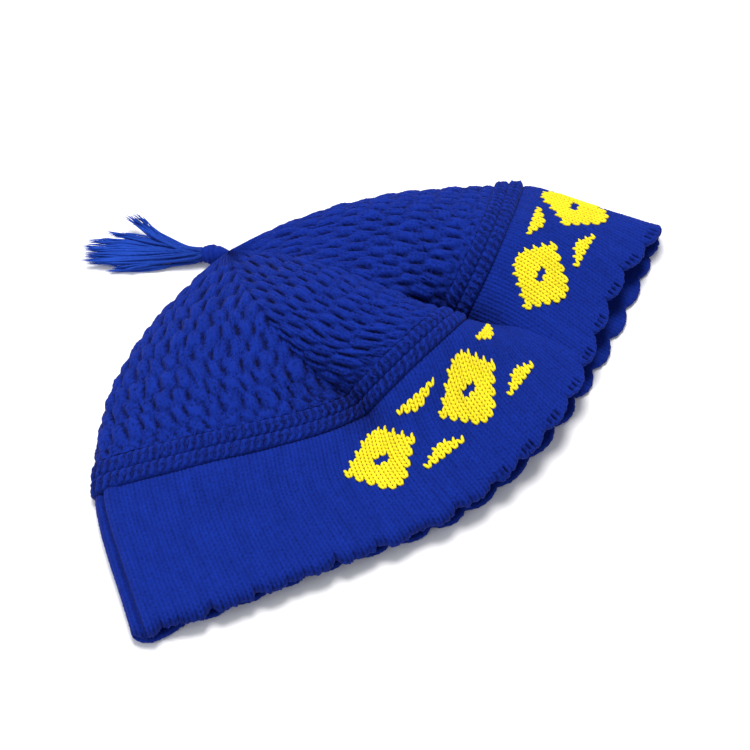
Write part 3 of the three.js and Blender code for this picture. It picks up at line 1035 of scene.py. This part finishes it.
def make_crown():
    points, normal, widths = net(crown_alongs, crown_top, crown_under, sector_edges)
    sector_share, from_middle, width = place_in_sector(points, widths)
    from_welt = ((crown_alongs - crown_alongs[0]) * whole_depth)[:, None] + 0 * sector_share
    to_tip = from_welt[-1] - from_welt
    x, y = wandering(from_middle / (width[0] / ovals_in_a_sector), from_welt / from_welt[-1] * oval_rows)
    holes = pits(x, y)
    relief = 0.8 * honeycomb(x, y) + 0.32 * plain_stitches(2 * x, 4 * y) - 0.45 * holes

    gathered = 1 - smoothstep(gather_depth - 4, gather_depth + 3, to_tip)
    ribs = 0.5 + 0.5 * np.cos(2 * np.pi * ribs_on_top * sector_share / 3)
    relief = relief * (1 - gathered) + (0.6 + 0.4 * ribs) * gathered
    by_welt = np.exp(-(from_welt / calm_reach) ** 2)
    relief = relief + (calm_level - relief) * by_welt
    holes = holes * (1 - by_welt)

    # Painted shade: darker on low places of the relief, in the holes and deep in folds near the welt. The
    # fuzz adds random tone.
    in_fold = 0.45 * fold_shade * sunk(points, crown_top, 60) * np.exp(-(from_welt / fold_shade_reach) ** 2)
    depth = 0.76 - 0.8 * relief + 0.3 * holes * (1 - gathered) + 0.26 * fuzz(relief.shape) + in_fold
    knit = np.stack([2 * x, 4 * y, np.clip(depth, 0, 1)], axis=2)

    to_edge = width / 2 - np.abs(from_middle)
    seam = np.exp(-(to_edge / seam_reach) ** 2) * smoothstep(1.0, 7.0, to_tip)
    relief = relief * (1 - 0.2 * seam)
    placed = moved(points, normal, relief, crown_relief, crown_fuzz * (width / width[0]) ** 1.5)
    tip_point = placed[-1].mean(axis=0) + tip_beyond

    columns = lining_columns(crown_top, crown_under, inner_step, inner_step // 2)
    some_rows = slice(0, int((len(placed) - 1) * lined_share), underside_step)
    inside, inside_knit = lining(points, normal, knit, crown_wall, some_rows, columns, 0.45)
    shell_parts = shell(placed, knit, inside, inside_knit, crown_top, underside_step, tip_point)
    vertices, values, faces = shell_parts
    new_piece("crown", vertices, faces, values, blue_yarn, "blue_yarn", "crown")


make_crown()

# %% [markdown]
# Two rolls part the crown from the band. On the real cap they are purl rows that curl outward, so
# each shows two rows of short slanting loops, like grains of rice, and a dark line lies between.
# Two plain tubes would look like piping, so each roll is a net of its own with the loops on it.

# %% Loops of the rolls
grain_reach = 1.7
grain_width = 0.6
grain_slant = math.radians(52)
roll_wale_width = 2.45
loop_row = 2.5


def purl_grains(wale, row):
    """Height of the slanting loops. row counts rows of loops up the roll."""
    height = np.zeros(np.broadcast(wale, row).shape)
    for near in (-1, 0, 1):
        level = np.floor(row) + near
        shift = 0.5 * (level % 2)
        for beside in (-1, 0, 1):
            middle = np.floor(wale - shift) + shift + 0.5 + beside
            dx = (wale - middle) * roll_wale_width
            dy = (row - level - 0.5) * loop_row
            lengthwise = dx * math.cos(grain_slant) + dy * math.sin(grain_slant)
            sideways = dy * math.cos(grain_slant) - dx * math.sin(grain_slant)
            dome = 1 - (lengthwise / grain_reach) ** 2 - (sideways / grain_width) ** 2
            height = np.maximum(height, np.sqrt(np.clip(dome, 0, 1)))
    return height


# %% [markdown]
# A roll reaches a little over its neighbours, and its two edges are tucked in, so that no gap is
# seen however steeply one looks. The loops fade out at those edges. Its shell has no rims: the rows
# go up the face and down again inside, and join into a ring.

# %% Rolls of the welt
roll_face_rows = 16
roll_inner_rows = 3
roll_grains = 2
roll_overlap = 0.35
roll_tuck = 0.9
roll_fuzz = 0.16


def make_roll(name, start):
    top = wales_on_top * columns_to_a_wale
    under = wales_on_top * columns_below
    middle = start + roll_depth / 2 / whole_depth
    reach = (roll_depth / 2 + roll_overlap) / whole_depth
    share = np.linspace(0, 1, roll_face_rows)
    points, normal = net(middle + reach * -np.cos(np.pi * share), top, under)[:2]
    wale, share = np.meshgrid(wales_around(top, under), share)
    round_out = np.sin(np.pi * share) ** 0.8
    clear = smoothstep(0.35, 0.85, round_out)
    relief = 0.6 + (purl_grains(wale, share * roll_grains) - 0.6) * clear
    out = -roll_tuck + (roll_bulge + roll_tuck) * round_out
    out = out + roll_fuzz * fuzz(share.shape) * clear + full_fold(wale)
    out = np.where(out > 0, out * lifted(normal), out) + 0.6 * (relief - 0.7) * lifted(normal)
    face = points + normal * out[..., None]
    face[..., 2] = np.maximum(face[..., 2], table_clearance)
    # Painted shade: darker between the loops, toward the roll's tucked edges and deep in folds. The fuzz
    # adds random tone.
    depth = 0.6 - 0.65 * relief + 0.1 * (1 - round_out) + 0.24 * fuzz(share.shape)
    depth += fold_shade * sunk(points, top, 5 * columns_to_a_wale)
    knit = np.stack([wale, share * 4, np.clip(depth, 0, 1)], axis=2)

    back_rows = np.linspace(roll_face_rows - 2, 1, roll_inner_rows).astype(int)
    back, back_knit = lining(points, normal, knit, band_wall, back_rows, slice(None), 0.5)
    vertices = np.concatenate([face, back])
    values = np.concatenate([knit, back_knit]).reshape(-1, 3)
    index = np.arange(vertices.shape[0] * vertices.shape[1]).reshape(vertices.shape[:2])
    faces = quads_of(index, close_rows=True, close_columns=True)
    new_piece(name, vertices.reshape(-1, 3), faces, values, blue_yarn, "blue_yarn", name)


make_roll("welt_lower_roll", weltline)
make_roll("welt_upper_roll", welt_middle)

# %% [markdown]
# The hem ends in scallops, one to five wales. A tight strand along the free edge draws each of them
# round. They could be separate petals, but the real edge is one strip of knit, so here it is one
# net too, whose free edge is cut in and out. At the left it has gone slack: the scallops are shallow
# there, and the edge is ragged. Underneath they lie half a scallop further on.

# %% Scallops along the free edge
wales_to_a_scallop = 2 * wales_on_top // scallops
droop_ends = (34, 62)


def slackness(wale):
    """1 where the upper edge hangs loose, falling to 0 where it stands."""
    return np.where(wale > wales_on_top, 0, 1 - smoothstep(*droop_ends, wale))


def scallop_places(wale):
    """Where each wale is in its scallop, from 0 to 1."""
    half_step = 0.5 * smoothstep(wales_on_top, wales_on_top + 9, wale)
    half_step *= 1 - smoothstep(2 * wales_on_top - 9, 2 * wales_on_top, wale)
    drift = 0.08 * np.sin(wale / 3.7) + 0.05 * np.sin(wale / 8.9 + 1)
    drift = drift * np.sin(np.pi * wale / wales_on_top) ** 2
    return (wale / wales_to_a_scallop + half_step + drift) % 1


def edge_cut(wale, in_scallop, slack):
    """How far in from the hem the free edge lies at each wale, in millimetres."""
    below = wale > wales_on_top
    uneven_depth = 1 + 0.22 * np.sin(wale / 6.1 + 2.0)
    cut = scallop_depth * uneven_depth * (1 - np.abs(np.sin(np.pi * in_scallop)) ** scallop_roundness)
    cut *= np.where(below, 0.8, 1) * (1 - 0.4 * slack)
    cut += slack * (0.6 + 0.5 * np.sin(wale * 2.1) + 0.4 * np.sin(wale * 3.3 + 1))
    cut += (0.2 * np.cos(2 * np.pi * wale) + 0.14 * fuzz(wale.shape)) * np.where(below, 0.6, 1)
    lower_left = smoothstep(2 * wales_on_top - 42, 2 * wales_on_top - 24, wale)
    lower_left = lower_left * (1 - smoothstep(2 * wales_on_top - 9, 2 * wales_on_top - 1, wale))
    return cut + 1.5 * lower_left


# %% [markdown]
# The strip has an outer face, a round free edge and an inner face, all in one set of rows. The tight
# strand also leaves a few small slits in each scallop, where it pulls the stitches apart.

# %% Rows of the strip, and its slits
edging_rows = 14
edge_turn_rows = 6
edging_inner_rows = 10
slit_places = (0.22, 0.36, 0.5)
slit_half_width = 0.028
slits_from_wale = 44


def strip_rows(cut, seam):
    """Gives how far in from the hem each point lies, how far below the outer face it is, and 1 on
    that face, falling to 0 behind it."""
    half_wall = band_wall / 2
    free_edge = cut + half_wall
    turn = np.linspace(0, np.pi, edge_turn_rows + 2)[1:-1, None]
    face_in = seam + (free_edge - seam) * np.linspace(0, 1, edging_rows)[:, None]
    turn_in = free_edge - half_wall * np.sin(turn)
    back_in = seam + (free_edge - seam) * np.linspace(1, 0, edging_inner_rows)[:, None]
    turn_level = half_wall * (np.cos(turn) - 1) + 0 * cut
    inward = np.concatenate([face_in, turn_in, back_in])
    level = np.concatenate([0 * face_in, turn_level, 0 * back_in - band_wall])
    fading = np.linspace(1, 0, edge_turn_rows)
    on_face = np.concatenate([np.ones(edging_rows), fading, np.zeros(edging_inner_rows)])
    return inward, level, on_face[:, None] + 0 * inward


def on_columns(points, normal, row_at):
    """Points and normals of a net at places between its rows, a column for each of its columns."""
    low = np.floor(row_at).astype(int)
    part = (row_at - low)[..., None]
    columns = np.arange(points.shape[1])[None, :]
    base = points[low, columns] * (1 - part) + points[low + 1, columns] * part
    outside = normal[low, columns] * (1 - part) + normal[low + 1, columns] * part
    return base, outside


def slits(in_scallop, from_edge, wale):
    """1 in the middle of a slit. There are none in the slack part, and none underneath."""
    slit = sum(np.exp(-((in_scallop - place) / slit_half_width) ** 2) for place in slit_places)
    slit = slit * np.exp(-((from_edge - 0.45) / 0.28) ** 4)
    slit = slit * smoothstep(slits_from_wale, slits_from_wale + 4, wale)
    return slit * np.where(wale > wales_on_top, 0, 1)


# %% [markdown]
# The slack part hangs down toward the table, while the standing part cups up. The lower layer lies
# flat, and shows beyond the upper one where the mouth gapes, so it reaches a little further out.

# %% Hem edging
edging_columns_below = 4
edging_net_rows = 40
edging_fuzz = 0.07
scallop_cup = 0.8
hem_droop = 1.7
lower_reach = 1.8
lower_reach_wales = 66


def hang(placed, points, wale, from_edge, slack):
    """Lets the slack part of the edge hang, and the lower layer reach further out."""
    droop = hem_droop * (1 - from_edge) ** 3 * slack
    placed[..., 2] -= droop * smoothstep(2, 5, placed[..., 2])
    outer = points[0] - points[1]
    outer /= np.linalg.norm(outer, axis=1, keepdims=True)
    along_lower = np.clip((wale - wales_on_top) / lower_reach_wales, 0, 1)
    further = lower_reach * np.sin(np.pi * along_lower) * (1 - from_edge)
    placed += outer * further[..., None]
    placed[..., 2] = np.maximum(placed[..., 2], table_clearance)


def make_edging():
    top = wales_on_top * columns_to_a_wale
    under = wales_on_top * edging_columns_below
    points, normal = net(np.linspace(0, band_start, edging_net_rows + 1), top, under)[:2]
    wale = wales_around(top, under)
    in_scallop = scallop_places(wale)
    slack = slackness(wale)
    cut = edge_cut(wale, in_scallop, slack)
    seam = edging_depth
    inward, level, on_face = strip_rows(cut, seam)
    row_at = np.clip(inward / seam * edging_net_rows, 0, edging_net_rows - 1e-6)
    base, outside = on_columns(points, normal, row_at)

    from_edge = np.clip((inward - cut) / (seam - cut), 0, 1)
    wales = wale + 0 * inward
    course = (inward - edging_depth) / course_height
    relief = plain_stitches(wales, course)
    lip = np.exp(-((from_edge - 0.06) / 0.12) ** 2)
    slit = slits(in_scallop, from_edge, wale)
    swell, groove = pressed_fold(wales)
    free = lifted(outside)
    rise = band_relief * (relief - 1 + proud_share * free) * (1 - 0.4 * lip) + unevenness(base) * free
    rise += edging_fuzz * fuzz(rise.shape) * free + swell * free
    rise += free * (0.2 * lip - 1.1 * slit)
    rise += 0.5 * (relief - 0.8) * slack * np.exp(-((from_edge - 0.15) / 0.25) ** 2)
    rise = rise * on_face + level - 0.6 * (relief - 0.6) * (1 - on_face)
    rise += free * scallop_cup * np.sin(np.pi * in_scallop) * (1 - from_edge) * (1 - slack)
    placed = base + outside * rise[..., None]
    hang(placed, points, wale, from_edge, slack)

    # Painted shade: darker between stitches, in the slits, in the groove of the pressed fold, where the
    # slack edge turns down, and on the inner face; less of it on the raised lip. The fuzz adds random tone.
    depth = 0.8 * (1 - relief) * (1 - 0.5 * lip) + 0.9 * slit + 0.35 * groove
    depth += slack * (1 - from_edge) ** 2 * (0.25 + 0.9 * (1 - relief)) + 0.05 * fuzz(depth.shape)
    depth = np.clip(depth * on_face + (0.8 - 0.8 * relief) * (1 - on_face), 0, 1)
    knit = np.stack([wales, course, depth], axis=2).reshape(-1, 3)
    index = np.arange(placed.shape[0] * placed.shape[1]).reshape(placed.shape[:2])
    faces = turned(quads_of(index, close_rows=True, close_columns=True))
    new_piece("hem_edging", placed.reshape(-1, 3), faces, knit, blue_yarn, "blue_yarn", "hem_edging")


make_edging()

# %% [markdown]
# The tassel is a bunch of the same yarn, tied off in a knot. Curve objects with a bevel would give
# the same strands, but then each of them would be an object, so one function makes plain tubes and
# another joins them into one mesh.

# %% Tubes of yarn
def tube(path, radii, sides, closed=False):
    """Rings around a path. Returns the points and faces, with a point at each end."""
    path = np.asarray(path, float)
    count = len(path)
    if closed:
        along = np.roll(path, -1, axis=0) - np.roll(path, 1, axis=0)
    else:
        along = np.gradient(path, axis=0)
    along /= np.linalg.norm(along, axis=1, keepdims=True)
    side = np.cross(along, [0.13, 0.21, 0.97])
    side /= np.linalg.norm(side, axis=1, keepdims=True)
    up = np.cross(side, along)
    turn = np.linspace(0, 2 * np.pi, sides, endpoint=False)
    rings = path[:, None] + np.asarray(radii).reshape(-1, 1, 1) * (
        side[:, None] * np.cos(turn)[:, None] + up[:, None] * np.sin(turn)[:, None])
    points = rings.reshape(-1, 3)
    index = np.arange(count * sides).reshape(count, sides)
    if closed:
        return points, turned(quads_of(index, close_rows=True, close_columns=True))
    faces = quads_of(index, close_columns=True)
    points = np.vstack([points, path[0], path[-1]])
    first, last = count * sides, count * sides + 1
    for i in range(sides):
        after = (i + 1) % sides
        faces.append([int(index[0, after]), int(index[0, i]), first])
        faces.append([int(index[-1, i]), int(index[-1, after]), last])
    return points, turned(faces)


def joined(tubes):
    """Points and faces of several tubes as one mesh."""
    points = []
    faces = []
    start = 0
    for tube_points, tube_faces in tubes:
        points.append(tube_points)
        faces += [[start + i for i in face] for face in tube_faces]
        start += len(tube_points)
    return np.concatenate(points), faces


# %% [markdown]
# The knot is a core of yarn with three slanting wraps around it, each as thick as the yarn. It is
# narrow where it leaves the crown, widest in the middle, and narrow again at the neck.

# %% Knot of the tassel
knot_length = 8
knot_radius = 3.3
knot_nose = 2
knot_height = 3.75
wound_yarn = 1.15
wrap_places = (3.9, 5.4, 6.8)
wrap_slant = 1.1
wrap_steps = 28
flattening = 0.95
tassel_turn = math.radians(136)
tassel_start = tip + np.array([0, knot_nose + piece_gap - lay_length * over_at(1.0), knot_height])
tassel_along = np.array([math.cos(tassel_turn), math.sin(tassel_turn), 0])
tassel_across = np.array([-math.sin(tassel_turn), math.cos(tassel_turn), 0])
upward = np.array([0, 0, 1.0])
knot_shape = smooth_curve([-2, 0, 2.4, 5, 7, 8.4], [0.35, 0.7, 1, 0.95, 0.72, 0.5])


def tassel_place(along, across, up):
    return tassel_start + along * tassel_along + across * tassel_across + up * upward


def make_knot():
    tubes = []
    steps = np.linspace(0, 2 * np.pi, wrap_steps, endpoint=False)
    for i, middle in enumerate(wrap_places):
        along = middle + wrap_slant * np.sin(steps + 0.35 * i)
        radius = (knot_radius - wound_yarn * 0.55) * knot_shape(np.clip(along, -2, 8.3))
        path = np.array([tassel_place(a, r * math.cos(t), r * math.sin(t) * flattening)
                         for a, r, t in zip(along, radius, steps)])
        tubes.append(tube(path, np.full(len(steps), wound_yarn), 8, closed=True))
    core_places = np.linspace(-1.6, 8.2, 9)
    core = np.array([tassel_place(a, 0, 0) for a in core_places])
    tubes.append(tube(core, 0.98 * knot_radius * knot_shape(core_places), 12))
    points, faces = joined(tubes)
    knit = np.zeros((len(points), 3))
    knit[:, 0] = np.arange(len(points)) * 0.01
    knit[:, 2] = 0.12
    new_piece("tassel_knot", points, faces, knit, blue_yarn, "blue_yarn", "tassel_knot")


make_knot()

# %% [markdown]
# The skirt's strands are cut short, so their plies open toward the ends and gather in locks. Hair
# particles would be quick, but they aren't a mesh and would be left out of the exported model. Each
# strand is a tapered tube on a soft curve, with three thin tails at its end. It starts in the neck,
# runs to its lock, and gets paler toward the tips, where light comes through.

# %% Locks of the skirt, in millimetres
skirt_length = 36
lock_table = [
    {"across": -13.5, "length": 27, "strands": 16, "width": 1.7, "lift": 4.0, "opening": 1.8},
    {"across": -7.6, "length": 33, "strands": 14, "width": 1.0, "lift": 1.0, "opening": 0.9},
    {"across": -4.6, "length": 39, "strands": 20, "width": 1.2, "lift": 0.3, "opening": 0.8},
    {"across": -1.5, "length": 41, "strands": 22, "width": 1.3, "lift": 0.3, "opening": 0.8},
    {"across": 1.6, "length": 40, "strands": 22, "width": 1.2, "lift": 0.0, "opening": 0.8},
    {"across": 4.3, "length": 41, "strands": 18, "width": 1.0, "lift": -0.6, "opening": 0.7},
    {"across": 6.2, "length": 32, "strands": 12, "width": 0.9, "lift": -1.2, "opening": 0.65},
]
print(sum(lock["strands"] for lock in lock_table), "strands")

# %% Skirt of the tassel
neck_radius = 2.6
strand_radius = 0.6
strand_steps = 14
tail_radii = [0.14, 0.13, 0.05]
tail_reach = 1.2
skirt_seed = 7


def make_skirt():
    chance = random.Random(skirt_seed)
    strands = []
    shares = np.linspace(0, 1, strand_steps)
    for lock in lock_table:
        for k in range(lock["strands"]):
            angle = chance.uniform(0, 2 * math.pi)
            reach = math.sqrt(chance.random())
            start_across = neck_radius * reach * math.cos(angle) * flattening
            start_up = neck_radius * reach * math.sin(angle)
            spread = lock["width"] * math.sqrt(chance.random())
            turn = chance.uniform(0, 2 * math.pi)
            length = lock["length"] * chance.uniform(0.82, 1.03)
            end_across = lock["across"] + spread * math.cos(turn)
            end_up = lock["lift"] - 0.8 + 1.5 * spread / lock["width"] * math.sin(turn)
            bow = chance.uniform(-1.4, 1.4)
            wave = chance.uniform(0.1, 0.55)
            phase = chance.uniform(0, 6.28)
            path = []
            for t in shares:
                opened = t ** lock["opening"]
                across = start_across * (1 - opened) + end_across * opened + bow * math.sin(math.pi * t)
                across += wave * math.sin(9 * t + phase) * t
                up = start_up * (1 - opened) + end_up * opened + wave * math.cos(8 * t + phase) * t
                path.append(tassel_place(knot_length + piece_gap + length * t, across, up))
            radii = strand_radius * chance.uniform(0.6, 1.15) * (1 - 0.6 * shares**3)
            radii[-1] *= 0.3
            strands.append(tube(path, radii, 6))
            for tail_number in range(3):
                offset = np.array([chance.uniform(-limit, limit) for limit in (0.5, 0.5, 0.4)])
                tail_end = path[-1] + offset * 1.3 + tassel_along * tail_reach
                tail = [path[-3] + offset * 0.2, path[-2] + offset * 0.7, tail_end]
                strands.append(tube(tail, tail_radii, 4))
    points, faces = joined(strands)
    points[:, 2] = np.maximum(points[:, 2], 2 * table_clearance)
    knit = np.zeros((len(points), 3))
    knit[:, 0] = np.arange(len(points)) * 0.003
    # Painted shade and light: strands are darker near the knot and paler toward the tips.
    toward_tips = ((points - tassel_start) @ tassel_along - knot_length) / skirt_length
    knit[:, 2] = 0.6 * (1 - np.clip(toward_tips, 0, 1))
    new_piece("tassel_skirt", points, faces, knit, loose_yarn, "blue_yarn", "tassel_skirt")


make_skirt()
